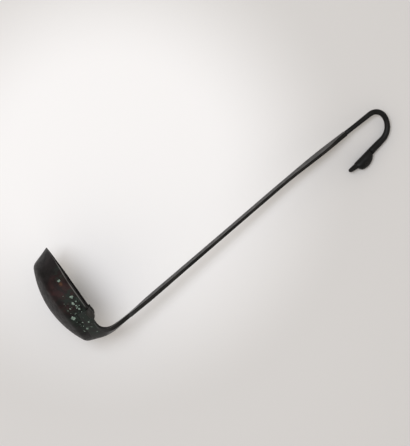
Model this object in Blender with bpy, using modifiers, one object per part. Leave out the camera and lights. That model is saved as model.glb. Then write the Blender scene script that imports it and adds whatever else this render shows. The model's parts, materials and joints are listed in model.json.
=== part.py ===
"""A bronze dipping ladle: a round carinated bowl, an upright strap handle and a hook with a duck's head.

The ladle is modelled upright about the bowl's axis, in metres: +Z out of the mouth, +X towards the handle and
the mouth plane at zero. At the end it is laid on its side on the plane z = 0, the way it comes to rest.
"""
import math

import bmesh
import bpy
import numpy as np
from mathutils import Matrix, Vector

MM = 0.001

# Bowl
RIM_RADIUS = 41.0 * MM
WALL_FLARE = math.radians(20.5)
WALL_HEIGHT = 16.1 * MM
WALL_THICKNESS = 2.6 * MM
FLOOR_THICKNESS = 1.7 * MM
FLOOR_DOME_RADIUS = 73.0 * MM
BELLY_FILLET = 2.6 * MM
LIP_ROUND = 0.5 * MM

# Crescent root of the handle, half lapped into the bowl's wall
ROOT_SPREAD = math.radians(68.5)
ROOT_LAP_THICKNESS = 1.0 * MM
ROOT_LAP_DEPTH = 11.0 * MM
ROOT_LAP_END_DEPTH = 9.0 * MM
ROOT_SHOULDER = 5.2 * MM
ROOT_BEND_RADIUS = 31.0 * MM
ROOT_BEND_START = 6.0 * MM
ROOT_TOP = 21.0 * MM
ROOT_FLARE_POWER = 3.0
NOTCH_ANGLE = math.radians(45.5)
NOTCH_DEPTH = 3.2 * MM
SPUR_ANGLE = math.radians(63.0)
SPUR_RISE = 1.4 * MM
SPUR_REACH = 2.6 * MM
SPUR_WIDTH = 9.0 * MM
SPUR_HEIGHT = 5.0 * MM

# Strap
HANDLE_LEAN = math.radians(5.4)
STEM_LENGTH = 233.0 * MM
STEM_BEND_START = 158.0 * MM
STEM_BEND_LENGTH = 40.0 * MM
STEM_BEND = math.radians(2.3)
STEM_WIDTH = 7.0 * MM
STEM_THICKNESS = 2.4 * MM
STEM_BASE_WIDTH = 9.0 * MM
STEM_BASE_THICKNESS = 3.2 * MM
STEM_FLARE_LENGTH = 9.0 * MM
STEM_TAPER_LENGTH = 93.0 * MM
STEM_TWIST = math.radians(14.0)
STEM_TWIST_START = 23.0 * MM
STEM_TWIST_LENGTH = 72.0 * MM
LEAF_WIDTH = 10.8 * MM
LEAF_LENGTH = 62.0 * MM
LEAF_TIP_LENGTH = 24.0 * MM
LEAF_TIP_WIDTH = 4.4 * MM
LEAF_TIP_THICKNESS = 3.5 * MM
STEM_CHAMFER = 0.6 * MM

# Hook
HOOK_RISE = 24.9 * MM
HOOK_NEAR_RADIUS = 8.8 * MM
HOOK_FAR_RADIUS = 14.1 * MM
HOOK_OPEN_ANGLE = math.radians(7.6)
HOOK_DROP = 13.9 * MM
HOOK_ROOT_DIAMETER = 3.8 * MM
HOOK_CROWN_DIAMETER = 4.5 * MM
HOOK_NECK_DIAMETER = 5.7 * MM
TANG_DIAMETER = 1.8 * MM
TANG_LENGTH = 14.0 * MM
TENON_DIAMETER = 3.0 * MM
TENON_LENGTH = 6.0 * MM

# Duck's head
HEAD_LENGTH = 22.6 * MM
HEAD_DEPTH = 9.9 * MM
HEAD_WIDTH = 8.6 * MM
HEAD_COLLAR_DIAMETER = 6.4 * MM
BILL_LENGTH = 7.0 * MM
BILL_DEPTH = 4.8 * MM
BILL_TIP_DEPTH = 2.8 * MM
BILL_WIDTH = 5.4 * MM
BILL_SETBACK = 0.3 * MM
CROWN_SHARE = 1.06
CROWN_FULLNESS = 0.74
BROW_SHARE = 0.86
BILL_BLEND_SHARE = 0.15
BILL_ROUND_SHARE = 0.3

# Joints
SOLDER_THICKNESS = 0.4 * MM
GAP = 0.2 * MM
SEAM = 0.3 * MM

# Facets
BOWL_STEPS = 96
ROOT_STEPS = 54
STEM_STATIONS = 48
HOOK_ARC_STEPS = 14
HEAD_STATIONS = 18
HEAD_SIDES = 16


def smooth_step(edge_low, edge_high, value):
    """0 below edge_low, 1 above edge_high, with level ends."""
    share = min(1.0, max(0.0, (value - edge_low) / (edge_high - edge_low)))
    return share * share * (3 - 2 * share)


def mix(first, second, share):
    return first + (second - first) * share


def clear_scene():
    for obj in list(bpy.data.objects):
        bpy.data.objects.remove(obj)


def make_collection(name):
    collection = bpy.data.collections.new(name)
    bpy.context.scene.collection.children.link(collection)
    return collection


def make_material(name, colour, metallic, roughness):
    material = bpy.data.materials.new(name)
    material.use_nodes = True
    shader = material.node_tree.nodes["Principled BSDF"]
    shader.inputs["Base Color"].default_value = (*colour, 1.0)
    shader.inputs["Metallic"].default_value = metallic
    shader.inputs["Roughness"].default_value = roughness
    return material


def add_object(name, data, collection, material=None):
    obj = bpy.data.objects.new(name, data)
    collection.objects.link(obj)
    if material:
        data.materials.append(material)
    return obj


def make_helper(obj):
    obj.hide_render = True
    obj.display_type = "WIRE"
    return obj


def shade(mesh, sharp_angle=35.0):
    mesh.shade_smooth()
    mesh.set_sharp_from_angle(angle=math.radians(sharp_angle))


def loft(name, rings):
    """A closed skin over rings of equally many points, capped at both ends."""
    mesh = bpy.data.meshes.new(name)
    shape = bmesh.new()
    loops = []
    for ring in rings:
        corners = [shape.verts.new(point) for point in ring]
        loops.append([shape.edges.new((corners[i - 1], corners[i])) for i in range(len(corners))])
    for lower, upper in zip(loops, loops[1:]):
        bmesh.ops.bridge_loops(shape, edges=lower + upper)
    for end in (loops[0], loops[-1]):
        bmesh.ops.contextual_create(shape, geom=end)
    bmesh.ops.recalc_face_normals(shape, faces=shape.faces)
    shape.to_mesh(mesh)
    shape.free()
    shade(mesh)
    return mesh


def profile_mesh(name, profile):
    """A line of (radius, height) points, to be turned about Z."""
    mesh = bpy.data.meshes.new(name)
    mesh.from_pydata([(radius, 0.0, height) for radius, height in profile],
                     [(i, i + 1) for i in range(len(profile) - 1)], [])
    return mesh


def add_screw(obj, steps):
    screw = obj.modifiers.new("turn", "SCREW")
    screw.axis = "Z"
    screw.steps = steps
    screw.render_steps = steps
    screw.use_merge_vertices = True
    screw.merge_threshold = 0.02 * MM
    screw.use_smooth_shade = True


def add_boolean(obj, other, operation):
    cut = obj.modifiers.new(operation.lower(), "BOOLEAN")
    cut.operation = operation
    cut.object = other
    cut.solver = "EXACT"


def evaluated_mesh(obj):
    graph = bpy.context.evaluated_depsgraph_get()
    return bpy.data.meshes.new_from_object(obj.evaluated_get(graph))


def wall_radius(height):
    """Outer radius of the bowl's flared wall."""
    return RIM_RADIUS + height * math.tan(WALL_FLARE)


def bowl_profile():
    """Points from the inside of the floor, over the lip and down the outside to the floor's underside."""
    belly_radius = wall_radius(-WALL_HEIGHT)
    dome_rise = FLOOR_DOME_RADIUS - math.sqrt(FLOOR_DOME_RADIUS**2 - belly_radius**2)
    bottom = -WALL_HEIGHT - dome_rise
    dome_centre = bottom + FLOOR_DOME_RADIUS

    def dome(radius, dome_radius):
        return dome_centre - math.sqrt(dome_radius**2 - radius**2)

    def side(wall_offset, dome_radius, fillet):
        """One face of the wall, from the lip to the axis, with a fillet at the belly."""
        corner = belly_radius - wall_offset
        corner_height = -WALL_HEIGHT
        for _ in range(6):
            corner_height = dome(corner, dome_radius)
            corner = wall_radius(corner_height) - wall_offset
        up_wall = Vector((math.sin(WALL_FLARE), math.cos(WALL_FLARE)))
        wall_point = Vector((corner, corner_height)) + fillet * up_wall
        dome_point = Vector((corner - fillet, dome(corner - fillet, dome_radius)))
        middle = Vector((corner, corner_height))
        points = []
        for i in range(5):
            share = i / 4
            points.append(wall_point.lerp(middle, share).lerp(middle.lerp(dome_point, share), share))
        for i in range(1, 8):
            radius = dome_point.x * (1 - i / 7)
            points.append(Vector((radius, dome(radius, dome_radius))))
        return points

    radial_wall = WALL_THICKNESS / math.cos(WALL_FLARE)
    outer = side(0.0, FLOOR_DOME_RADIUS, BELLY_FILLET)
    inner = side(radial_wall, FLOOR_DOME_RADIUS - FLOOR_THICKNESS, BELLY_FILLET)
    lip = [(wall_radius(-LIP_ROUND) - radial_wall, -LIP_ROUND), (RIM_RADIUS - radial_wall + LIP_ROUND, 0.0),
           (RIM_RADIUS - LIP_ROUND, 0.0), (wall_radius(-LIP_ROUND), -LIP_ROUND)]
    return [tuple(p) for p in reversed(inner)] + lip + [tuple(p) for p in outer]


def root_radius(height):
    """Outer radius of the root: the wall's cone, then a bend into the strap's inward lean."""
    start = -ROOT_BEND_START
    if height <= start:
        return wall_radius(height)
    centre_height = start + ROOT_BEND_RADIUS * math.sin(WALL_FLARE)
    centre_radius = wall_radius(start) - ROOT_BEND_RADIUS * math.cos(WALL_FLARE)
    end_height = centre_height + ROOT_BEND_RADIUS * math.sin(HANDLE_LEAN)
    end_radius = centre_radius + ROOT_BEND_RADIUS * math.cos(HANDLE_LEAN)
    if height >= end_height:
        return end_radius - (height - end_height) * math.tan(HANDLE_LEAN)
    return centre_radius + math.sqrt(ROOT_BEND_RADIUS**2 - (height - centre_height) ** 2)


def stem_start():
    """The point on the root's outer face where its bend ends and the strap runs straight."""
    height = -ROOT_BEND_START + ROOT_BEND_RADIUS * (math.sin(WALL_FLARE) + math.sin(HANDLE_LEAN))
    return Vector((root_radius(height), 0.0, height))


def root_top(angle):
    """Height of the root's upper edge: high at the strap, down to the notch and up to the spur."""
    angle = abs(angle)
    neck = 0.5 * STEM_WIDTH / RIM_RADIUS
    if angle <= neck:
        return ROOT_TOP
    if angle <= NOTCH_ANGLE:
        share = (angle - neck) / (NOTCH_ANGLE - neck)
        return -NOTCH_DEPTH + (ROOT_TOP + NOTCH_DEPTH) * (1 - share) ** ROOT_FLARE_POWER
    return mix(-NOTCH_DEPTH, 0.5 * SPUR_RISE, smooth_step(NOTCH_ANGLE, SPUR_ANGLE, angle))


def root_bottom(angle):
    """Height of the lower edge of the root's lap on the wall."""
    share = math.cos(0.5 * math.pi * min(1.0, abs(angle) / ROOT_SPREAD))
    return -mix(ROOT_LAP_END_DEPTH, ROOT_LAP_DEPTH, share)


def turned_ring(points, angle):
    return [Vector((radius * math.cos(angle), radius * math.sin(angle), height)) for radius, height in points]


def root_angles(spread):
    return [spread * (2 * i / ROOT_STEPS - 1) for i in range(ROOT_STEPS + 1)]


def root_mesh():
    """The crescent: a full wall above its shoulder and a thin lap on the bowl's wall below it."""
    wall = WALL_THICKNESS / math.cos(WALL_FLARE)
    lap = ROOT_LAP_THICKNESS / math.cos(WALL_FLARE)
    shoulder = -ROOT_SHOULDER + SEAM
    rings = []
    for angle in root_angles(ROOT_SPREAD):
        top, bottom = root_top(angle), root_bottom(angle)
        outer = [mix(bottom, top, i / 12) for i in range(13)]
        inner = [mix(top, shoulder, i / 6) for i in range(7)]
        points = [(root_radius(z), z) for z in outer]
        points += [(root_radius(z) - wall, z) for z in inner]
        points += [(root_radius(z) - lap, z) for z in (shoulder, mix(shoulder, bottom, 0.5), bottom)]
        rings.append(turned_ring(points, angle))
    return loft("root", rings)


def seat_mesh():
    """What the root and its solder take out of the bowl's wall, with the seams round them."""
    wall = (WALL_THICKNESS + SEAM) / math.cos(WALL_FLARE)
    bed = (ROOT_LAP_THICKNESS + SOLDER_THICKNESS + 2 * GAP) / math.cos(WALL_FLARE)
    outside = (WALL_THICKNESS + SPUR_REACH) / math.cos(WALL_FLARE)
    top = ROOT_TOP
    shoulder = -ROOT_SHOULDER
    rings = []
    for angle in root_angles(ROOT_SPREAD + SEAM / RIM_RADIUS):
        bottom = root_bottom(angle) - SEAM
        levels = [mix(bottom, shoulder, i / 3) for i in range(4)]
        points = [(wall_radius(z) + outside, z) for z in (*levels, top)]
        points += [(wall_radius(top) - 2 * wall, top), (wall_radius(shoulder) - wall, shoulder)]
        points += [(wall_radius(z) - bed, z) for z in reversed(levels)]
        rings.append(turned_ring(points, angle))
    return loft("seat", rings)


def solder_mesh():
    """The sheet of solder between the lap and its seat."""
    face = (ROOT_LAP_THICKNESS + GAP) / math.cos(WALL_FLARE)
    back = face + SOLDER_THICKNESS / math.cos(WALL_FLARE)
    top = -ROOT_SHOULDER - SEAM
    rings = []
    for angle in root_angles(ROOT_SPREAD - 2 * SEAM / RIM_RADIUS):
        levels = [mix(root_bottom(angle) + SEAM, top, i / 3) for i in range(4)]
        points = [(wall_radius(z) - face, z) for z in levels]
        points += [(wall_radius(z) - back, z) for z in reversed(levels)]
        rings.append(turned_ring(points, angle))
    return loft("root_solder", rings)


def spur_matrix(side):
    """Places a unit ball as the spur on one side of the root, standing proud of the wall and of the rim."""
    radius = RIM_RADIUS + SPUR_REACH - 0.5 * SPUR_HEIGHT
    place = turned_ring([(radius, SPUR_RISE - 0.5 * SPUR_HEIGHT)], side * SPUR_ANGLE)[0]
    size = Matrix.Diagonal((0.5 * SPUR_HEIGHT, 0.5 * SPUR_WIDTH, 0.5 * SPUR_HEIGHT, 1.0))
    return Matrix.Translation(place) @ Matrix.Rotation(side * SPUR_ANGLE, 4, "Z") @ size


def ball_mesh(name, matrix, grow=0.0):
    mesh = bpy.data.meshes.new(name)
    shape = bmesh.new()
    bmesh.ops.create_uvsphere(shape, u_segments=20, v_segments=12, radius=1.0)
    for vert in shape.verts:
        vert.co = matrix @ vert.co + (matrix.to_3x3() @ vert.co).normalized() * grow
    shape.to_mesh(mesh)
    shape.free()
    shade(mesh)
    return mesh


def stem_frame(distance):
    """Matrix of the strap at a distance from its start: X out of its outer face, Y across it, Z along it."""
    radius = STEM_BEND_LENGTH / STEM_BEND
    turn = min(STEM_BEND, max(0.0, (distance - STEM_BEND_START) / radius))
    beyond = max(0.0, distance - STEM_BEND_START - STEM_BEND_LENGTH)
    out = radius * (1 - math.cos(turn)) + beyond * math.sin(turn) - 0.5 * STEM_BASE_THICKNESS
    up = min(distance, STEM_BEND_START) + radius * math.sin(turn) + beyond * math.cos(turn)
    twist = STEM_TWIST * smooth_step(STEM_TWIST_START, STEM_TWIST_START + STEM_TWIST_LENGTH, distance)
    lean = Matrix.Translation(stem_start()) @ Matrix.Rotation(-HANDLE_LEAN, 4, "Y")
    bend = Matrix.Translation((out, 0.0, up)) @ Matrix.Rotation(turn, 4, "Y")
    return lean @ bend @ Matrix.Rotation(twist, 4, "Z")


def stem_size(distance):
    """(half width, half thickness) of the strap: flared at its base and broadened to a leaf at its top."""
    tip_start = STEM_LENGTH - LEAF_TIP_LENGTH
    flare = math.exp(-distance / STEM_FLARE_LENGTH)
    width = mix(STEM_WIDTH, STEM_BASE_WIDTH, flare)
    thickness = mix(STEM_BASE_THICKNESS, STEM_THICKNESS, smooth_step(0.0, STEM_TAPER_LENGTH, distance))
    leaf = smooth_step(STEM_LENGTH - LEAF_LENGTH, tip_start, distance)
    width = mix(width, LEAF_WIDTH, leaf)
    tip = smooth_step(tip_start, STEM_LENGTH, distance)
    width = mix(width, LEAF_TIP_WIDTH, tip)
    thickness = mix(thickness, LEAF_TIP_THICKNESS, tip)
    return 0.5 * width, 0.5 * thickness


def stem_mesh():
    rings = []
    for i in range(STEM_STATIONS + 1):
        distance = STEM_LENGTH * i / STEM_STATIONS
        half_width, half_thickness = stem_size(distance)
        cut = STEM_CHAMFER
        corners = [(half_thickness, half_width - cut), (half_thickness - cut, half_width)]
        corners += [(-x, y) for x, y in reversed(corners)]
        corners += [(-x, -y) for x, y in corners]
        frame = stem_frame(distance)
        rings.append([frame @ Vector((x, y, 0.0)) for x, y in corners])
    return loft("stem", rings)


def rod_mesh(name, frame, diameter, low, high):
    """A round rod along the frame's Z, from low to high."""
    mesh = bpy.data.meshes.new(name)
    shape = bmesh.new()
    middle = Matrix.Translation((0.0, 0.0, 0.5 * (low + high)))
    bmesh.ops.create_cone(shape, cap_ends=True, segments=16, radius1=0.5 * diameter, radius2=0.5 * diameter,
                          depth=high - low, matrix=frame @ middle)
    shape.to_mesh(mesh)
    shape.free()
    return mesh


def hook_path():
    """Points (out, up) of the hook's centre line, from its shoulder on the leaf to the one in the head."""
    path = [(0.0, SEAM), (0.0, 0.5 * HOOK_RISE)]
    for i in range(HOOK_ARC_STEPS + 1):
        turn = 0.5 * math.pi * i / HOOK_ARC_STEPS
        path.append((HOOK_NEAR_RADIUS * (1 - math.cos(turn)), HOOK_RISE + HOOK_NEAR_RADIUS * math.sin(turn)))
    crown = HOOK_RISE + HOOK_NEAR_RADIUS
    for i in range(1, HOOK_ARC_STEPS + 1):
        turn = (0.5 * math.pi - HOOK_OPEN_ANGLE) * i / HOOK_ARC_STEPS
        path.append((HOOK_NEAR_RADIUS + HOOK_FAR_RADIUS * math.sin(turn),
                     crown - HOOK_FAR_RADIUS * (1 - math.cos(turn))))
    out, up = path[-1]
    path.append((out + HOOK_DROP * math.sin(HOOK_OPEN_ANGLE), up - HOOK_DROP * math.cos(HOOK_OPEN_ANGLE)))
    return path


def head_frame():
    """Matrix of the head: Z from the neck towards the bill, X towards the crown, Y across."""
    out, up = hook_path()[-1]
    turn = math.pi - HOOK_OPEN_ANGLE
    facing = Matrix.Rotation(turn, 4, "Y") @ Matrix.Rotation(math.pi, 4, "Z")
    local = Matrix.Translation((out, 0.0, up)) @ facing
    return stem_frame(STEM_LENGTH) @ local


def hook_curve():
    """The hook as one tapered rod, with a thin tang below it and a tenon at its neck end."""
    path = hook_path()
    lengths = [0.0]
    for a, b in zip(path, path[1:]):
        lengths.append(lengths[-1] + math.dist(a, b))
    crown_length = lengths[2 + HOOK_ARC_STEPS]
    points = []
    for (out, up), length in zip(path, lengths):
        swell = smooth_step(0.0, crown_length, length)
        diameter = mix(HOOK_ROOT_DIAMETER, HOOK_CROWN_DIAMETER, swell)
        neck = smooth_step(crown_length, lengths[-1], length)
        points.append((out, up, mix(diameter, HOOK_NECK_DIAMETER, neck)))
    step = 0.05 * MM
    down = Vector((math.sin(HOOK_OPEN_ANGLE), -math.cos(HOOK_OPEN_ANGLE)))
    end = Vector(path[-1])
    tang = [(0.0, SEAM - TANG_LENGTH, TANG_DIAMETER), (0.0, SEAM - step, TANG_DIAMETER)]
    tenon = [(*(end + down * reach), TENON_DIAMETER) for reach in (step, TENON_LENGTH)]
    points = tang + points + tenon
    curve = bpy.data.curves.new("hook", "CURVE")
    curve.dimensions = "3D"
    curve.bevel_depth = 0.5 * MM
    curve.bevel_resolution = 4
    curve.use_fill_caps = True
    spline = curve.splines.new("POLY")
    spline.points.add(len(points) - 1)
    frame = stem_frame(STEM_LENGTH)
    for target, (out, up, diameter) in zip(spline.points, points):
        target.co = (*(frame @ Vector((out, 0.0, up))), 1.0)
        target.radius = diameter / (2 * curve.bevel_depth)
    return curve


def head_mesh():
    """The head: round at the collar, full at the crown, narrowing to a flat bill, with a straight throat."""
    frame = head_frame()
    throat = -0.5 * HOOK_NECK_DIAMETER
    brow = HEAD_LENGTH - BILL_LENGTH
    rings = []
    for i in range(HEAD_STATIONS + 1):
        along = SEAM + (HEAD_LENGTH - SEAM) * math.sin(0.5 * math.pi * i / HEAD_STATIONS)
        swell = math.sin(math.pi * min(1.0, along / (CROWN_SHARE * brow))) ** CROWN_FULLNESS
        bill = smooth_step(BROW_SHARE * brow, brow + BILL_BLEND_SHARE * BILL_LENGTH, along)
        bill_depth = mix(BILL_DEPTH, BILL_TIP_DEPTH, max(0.0, (along - brow) / BILL_LENGTH))
        depth = mix(mix(HEAD_COLLAR_DIAMETER, HEAD_DEPTH, swell), bill_depth, bill)
        width = mix(mix(HEAD_COLLAR_DIAMETER, HEAD_WIDTH, swell), BILL_WIDTH, bill)
        tip = max(0.0, 1 - (HEAD_LENGTH - along) / (BILL_ROUND_SHARE * BILL_LENGTH))
        blunt = math.sqrt(max(0.04, 1 - tip * tip))
        centre = throat + 0.5 * depth + BILL_SETBACK * bill
        ring = []
        for k in range(HEAD_SIDES):
            turn = 2 * math.pi * k / HEAD_SIDES
            ring.append(frame @ Vector((centre + 0.5 * depth * blunt * math.cos(turn),
                                        0.5 * width * blunt * math.sin(turn), along)))
        rings.append(ring)
    return loft("duck_head", rings)


def solid_moments(points, faces):
    """(volume, centre of volume) of a closed triangle mesh."""
    a, b, c = points[faces[:, 0]], points[faces[:, 1]], points[faces[:, 2]]
    volumes = np.einsum("ij,ij->i", a, np.cross(b, c)) / 6
    return volumes.sum(), (volumes[:, None] * (a + b + c) / 4).sum(axis=0) / volumes.sum()


def read_solids(parts):
    """All corner points of the parts, and the centre of volume of them all."""
    clouds, moment, total = [], np.zeros(3), 0.0
    for part in parts:
        mesh = evaluated_mesh(part)
        mesh.calc_loop_triangles()
        points = np.array([part.matrix_world @ vert.co for vert in mesh.vertices])
        faces = np.array([triangle.vertices[:] for triangle in mesh.loop_triangles])
        volume, centre = solid_moments(points, faces)
        clouds.append(points)
        moment += volume * centre
        total += volume
        bpy.data.meshes.remove(mesh)
    return np.vstack(clouds), moment / total


def resting_side(points, centre, expected):
    """Outward normal of the hull's facet under the centre of mass that is nearest to the expected side."""
    shape = bmesh.new()
    for point in points:
        shape.verts.new(point)
    hull = bmesh.ops.convex_hull(shape, input=shape.verts)["geom"]
    best, best_turn = expected, math.pi
    for facet in (item for item in hull if isinstance(item, bmesh.types.BMFace)):
        normal = facet.normal.copy()
        if normal.dot(facet.verts[0].co - Vector(centre)) < 0:
            normal.negate()
        corners = [vert.co for vert in facet.verts]
        foot = Vector(centre) + normal * normal.dot(corners[0] - Vector(centre))
        sides = [(b - a).cross(foot - a).dot(normal) for a, b in zip(corners, corners[1:] + corners[:1])]
        inside = all(s >= 0 for s in sides) or all(s <= 0 for s in sides)
        if inside and normal.angle(expected) < best_turn:
            best, best_turn = normal, normal.angle(expected)
    shape.free()
    return best


def lay_down(parts, carrier):
    """Turns the carrier so that the ladle rests on z = 0, hook towards +X, centred over the origin."""
    points, centre = read_solids(parts)
    down = resting_side(points, centre, Vector((0.0, 1.0, 0.0)))
    turn = down.rotation_difference(Vector((0.0, 0.0, -1.0))).to_matrix()
    along = turn @ (stem_frame(STEM_LENGTH).translation - stem_start())
    turn = Matrix.Rotation(-math.atan2(along.y, along.x), 3, "Z") @ turn
    laid = points @ np.array(turn).T
    low, high = laid.min(axis=0), laid.max(axis=0)
    shift = Vector((-0.5 * (low[0] + high[0]), -0.5 * (low[1] + high[1]), -low[2]))
    carrier.matrix_world = Matrix.Translation(shift) @ turn.to_4x4()


def main():
    clear_scene()
    parts = make_collection("dipping_ladle")
    cutters = make_collection("cutters")
    bowl_bronze = make_material("bowl_bronze", (0.055, 0.048, 0.046), 1.0, 0.46)
    handle_bronze = make_material("handle_bronze", (0.065, 0.060, 0.058), 1.0, 0.40)
    hook_bronze = make_material("hook_bronze", (0.042, 0.038, 0.038), 1.0, 0.42)
    head_bronze = make_material("head_bronze", (0.040, 0.036, 0.036), 1.0, 0.44)
    grey_solder = make_material("grey_solder", (0.16, 0.16, 0.15), 1.0, 0.55)

    bowl = add_object("bowl", profile_mesh("bowl", bowl_profile()), parts, bowl_bronze)
    add_screw(bowl, BOWL_STEPS)
    seat = make_helper(add_object("seat_cutter", seat_mesh(), cutters))
    add_boolean(bowl, seat, "DIFFERENCE")
    handle = add_object("handle", root_mesh(), parts, handle_bronze)
    stem = make_helper(add_object("stem_blank", stem_mesh(), cutters))
    add_boolean(handle, stem, "UNION")
    for side, label in ((1, "left"), (-1, "right")):
        spur = make_helper(add_object(f"spur_{label}", ball_mesh("spur", spur_matrix(side)), cutters))
        add_boolean(handle, spur, "UNION")
        recess = ball_mesh("spur_recess", spur_matrix(side), SEAM)
        add_boolean(bowl, make_helper(add_object(f"spur_recess_{label}", recess, cutters)), "DIFFERENCE")
    tip_frame = stem_frame(STEM_LENGTH)
    socket = rod_mesh("socket", tip_frame, TANG_DIAMETER + 2 * SEAM, -TANG_LENGTH - SEAM, TANG_LENGTH)
    add_boolean(handle, make_helper(add_object("socket_cutter", socket, cutters)), "DIFFERENCE")
    solder = add_object("root_solder", solder_mesh(), parts, grey_solder)
    hook = add_object("hook", hook_curve(), parts, hook_bronze)
    head = add_object("duck_head", head_mesh(), parts, head_bronze)
    mortise = rod_mesh("mortise", head_frame(), TENON_DIAMETER + 2 * SEAM, -TENON_LENGTH, TENON_LENGTH + SEAM)
    add_boolean(head, make_helper(add_object("mortise_cutter", mortise, cutters)), "DIFFERENCE")

    carrier = bpy.data.objects.new("ladle_axes", None)
    parts.objects.link(carrier)
    for obj in list(parts.objects) + list(cutters.objects):
        if obj is not carrier:
            obj.parent = carrier
    bpy.context.view_layer.update()
    lay_down([bowl, handle, solder, hook, head], carrier)


main()
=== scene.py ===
import json
import math
import random

import bmesh
import bpy
from mathutils import Matrix, Vector, noise


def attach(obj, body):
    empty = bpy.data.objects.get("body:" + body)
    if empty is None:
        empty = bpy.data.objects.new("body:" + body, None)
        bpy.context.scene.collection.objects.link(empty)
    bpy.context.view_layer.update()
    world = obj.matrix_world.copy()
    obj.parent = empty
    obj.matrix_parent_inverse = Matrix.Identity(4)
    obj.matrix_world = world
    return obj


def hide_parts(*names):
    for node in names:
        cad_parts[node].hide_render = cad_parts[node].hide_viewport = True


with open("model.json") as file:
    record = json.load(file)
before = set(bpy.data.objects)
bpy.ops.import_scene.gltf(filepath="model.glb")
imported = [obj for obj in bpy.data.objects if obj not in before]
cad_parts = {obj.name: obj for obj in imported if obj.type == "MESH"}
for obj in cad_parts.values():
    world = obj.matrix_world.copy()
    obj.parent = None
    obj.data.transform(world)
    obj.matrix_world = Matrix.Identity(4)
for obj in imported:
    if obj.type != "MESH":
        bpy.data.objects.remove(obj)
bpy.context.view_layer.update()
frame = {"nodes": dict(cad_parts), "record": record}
print("frame loaded:", ", ".join(sorted(frame["nodes"])))

mm = 0.001  # the ladle and the camera are in millimetres and degrees, the table and the lights in metres


# small helpers

def smoothStep(low, high, value):
    share = min(1.0, max(0.0, (value - low) / (high - low)))
    return share * share * (3 - 2 * share)


def mix(first, second, share):
    return first + (second - first) * share


def bell(distance, width):
    return math.exp(-((distance / width) ** 2))


def clearSelection():
    if bpy.context.mode != "OBJECT":
        bpy.ops.object.mode_set(mode="OBJECT")
    bpy.ops.object.select_all(action="DESELECT")


def pick(obj):
    clearSelection()
    obj.select_set(True)
    bpy.context.view_layer.objects.active = obj


def rename(name):
    obj = bpy.context.object
    obj.name = name
    obj.data.name = name
    return obj


def settle(obj, matrix):  # moves the place into the mesh
    pick(obj)
    obj.matrix_world = matrix
    bpy.ops.object.transform_apply(location=True, rotation=True, scale=True)


def applyModifier(obj, modifier):
    pick(obj)
    bpy.ops.object.modifier_apply(modifier=modifier.name)


def joinOver(obj, other, operation):  # boolean with another closed mesh, which is then thrown away
    modifier = obj.modifiers.new(operation.lower(), "BOOLEAN")
    modifier.operation = operation
    modifier.solver = "EXACT"
    modifier.object = other
    applyModifier(obj, modifier)
    pick(other)
    bpy.ops.object.delete()


def selectEdges(obj, wanted):
    pick(obj)
    bpy.ops.object.mode_set(mode="EDIT")
    bpy.ops.mesh.select_mode(type="EDGE")
    bpy.ops.mesh.select_all(action="DESELECT")
    shape = bmesh.from_edit_mesh(obj.data)
    shape.normal_update()
    for edge in shape.edges:
        edge.select = wanted(edge)
    shape.select_flush_mode()
    bmesh.update_edit_mesh(obj.data)


def gridSheet(name, columns, rows, place):  # place(column share, row share) gives the point and its gauge
    clearSelection()
    bpy.ops.mesh.primitive_grid_add(x_subdivisions=columns, y_subdivisions=rows, size=1.0)
    sheet = rename(name)
    gauge = sheet.vertex_groups.new(name="gauge")
    for vert in sheet.data.vertices:
        point, weight = place(vert.co.x + 0.5, vert.co.y + 0.5)
        gauge.add([vert.index], weight, "REPLACE")
        vert.co = point
    return sheet


def weld(distance):  # joins the points that lie together and leaves edit mode
    bpy.ops.mesh.select_all(action="SELECT")
    bpy.ops.mesh.remove_doubles(threshold=distance)
    bpy.ops.mesh.normals_make_consistent(inside=False)
    bpy.ops.object.mode_set(mode="OBJECT")


def turnOutwards(obj):  # an open sheet whose faces should look away from the bowl's axis
    pick(obj)
    bpy.ops.object.mode_set(mode="EDIT")
    weld(0.002 * mm)
    face = obj.data.polygons[0]
    if face.normal.dot(Vector((face.center.x, face.center.y, 0.0))) < 0:
        obj.data.flip_normals()


def thicken(obj, thickness):
    solid = obj.modifiers.new("gauge", "SOLIDIFY")
    solid.thickness = thickness * mm
    solid.offset = -1.0
    solid.use_even_offset = True
    solid.vertex_group = "gauge"
    applyModifier(obj, solid)


def hammer(obj, look):  # soft unevenness left by the hammer and by wear, nearly all of it inwards
    inwards = 0.6
    moves = []
    for vert in obj.data.vertices:
        broad = (noise.noise(vert.co / (look["broadSize"] * mm)) - inwards) * look["broad"]
        fine = (noise.noise(vert.co / (look["fineSize"] * mm)) - inwards) * look["fine"]
        moves.append(vert.normal * (broad + fine) * mm)
    for vert, move in zip(obj.data.vertices, moves):
        vert.co += move


def markWear(obj):  # keeps how sharply each point stands out, for the rubbed edges of the finish
    blunt, sharp = 0.06, 0.30
    shape = bmesh.new()
    shape.from_mesh(obj.data)
    shape.normal_update()
    wear = []
    for vert in shape.verts:
        rise = 0.0
        for edge in vert.link_edges:
            rise -= vert.normal.dot((edge.other_vert(vert).co - vert.co).normalized())
        wear.append(smoothStep(blunt, sharp, rise / max(1, len(vert.link_edges))))
    shape.free()
    layer = obj.data.attributes.new("wear", "FLOAT", "POINT")
    layer.data.foreach_set("value", wear)


def smoothShade(obj):
    crease = 38
    pick(obj)
    bpy.ops.object.shade_smooth_by_angle(angle=math.radians(crease))
    flats = obj.modifiers.new("flats", "WEIGHTED_NORMAL")  # keeps the broad faces flat beside their bevels
    applyModifier(obj, flats)


# the ladle's own axes: the bowl's axis is Z, the mouth is at zero and the handle is at +X

bowlCup = dict(rimRadius=41.0, flare=20.5, wallHeight=16.1, wall=2.6, floor=1.7, dome=73.0, belly=2.6,
               lip=0.6, lipWear=0.25, lipSteps=5, sides=288, wallRings=48, crowding=1.4, bellySteps=8,
               domeRings=24, bandTop=0.1, lipBand=1.2, lipStep=0.24, bandFrom=136.0, bandTo=100.0,
               bandFade=10.0, bandEdge=0.22, scrapeEnd=11.0, scrapeFull=5.0, lineWidth=0.34)

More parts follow.
